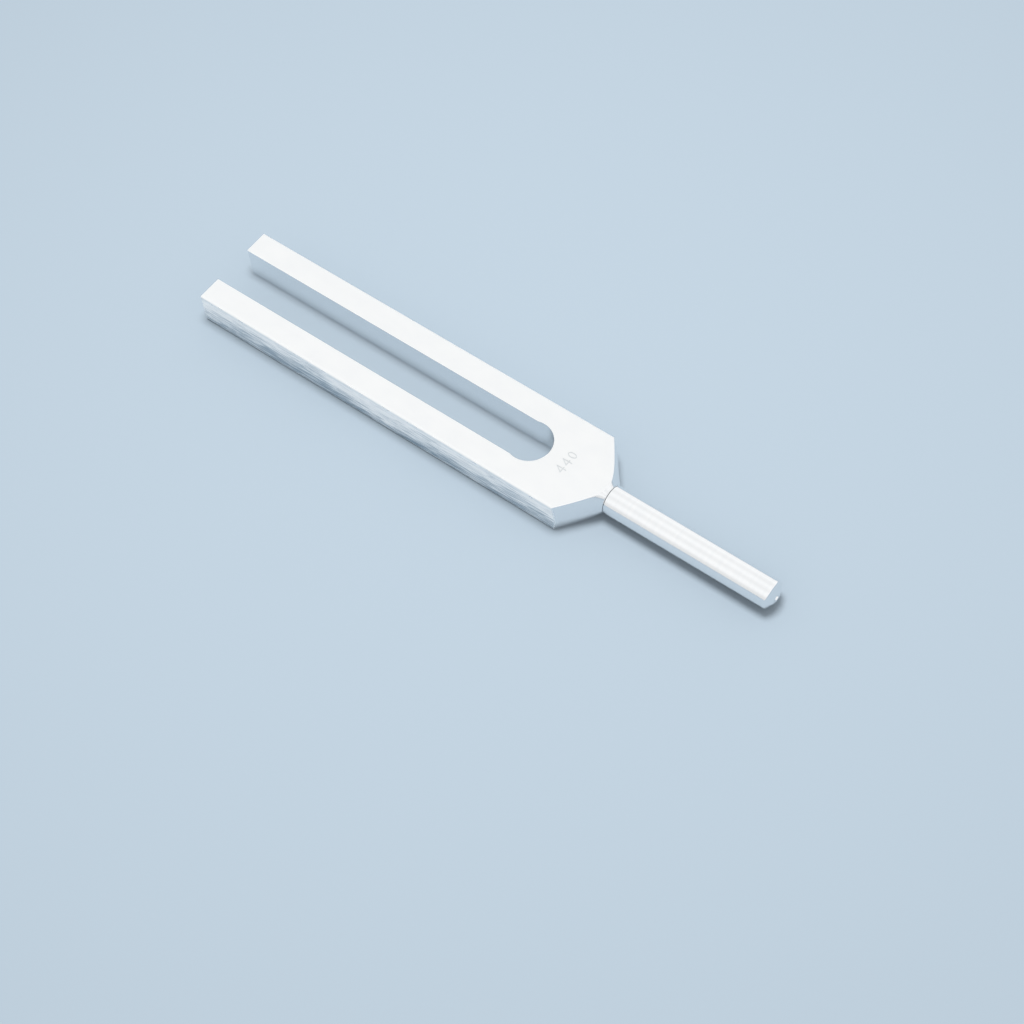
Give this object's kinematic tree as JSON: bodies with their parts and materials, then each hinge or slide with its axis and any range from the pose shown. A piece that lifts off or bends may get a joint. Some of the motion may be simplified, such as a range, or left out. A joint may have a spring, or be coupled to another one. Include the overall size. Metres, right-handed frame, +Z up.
{
  "type": "tuning fork",
  "caption": "Two-tine tuning fork lying flat: a square-cut slotted bar with a cone-turned base and a plain round stem that unscrews.",
  "frame": {"origin": "bottom centre of the whole fork, on the plane of the head's flat underside", "axes": "+X from the tine tips to the free end of the stem, +Y across the tines, +Z up, out of the head's top face"},
  "size_m": [0.2256, 0.034, 0.0127],
  "materials": {
    "satin_aluminium": "satin bar stock, sides brushed lengthwise, cone turned",
    "turned_aluminium": "fine turned rod, satin",
    "stud_steel": "plain zinc-plated set screw"
  },
  "bodies": {
    "head": {"fork_head": "satin_aluminium"},
    "stud": {"joining_stud": "stud_steel"},
    "stem": {"stem": "turned_aluminium"}
  },
  "joints": [
    {"name": "stem_travel", "type": "slide", "parent": "head", "child": "stud", "axis": [1, 0, 0], "range_m": [0, 0.012]},
    {"name": "stem_turn", "type": "hinge", "parent": "stud", "child": "stem", "pos_m": [0.0491, 0, 0.00635], "axis": [1, 0, 0], "range_deg": [0, 4320]}
  ],
  "couplings": [
    {"joint": "stem_travel", "follows": "stem_turn", "m_per_rad": 0.00015915}
  ]
}
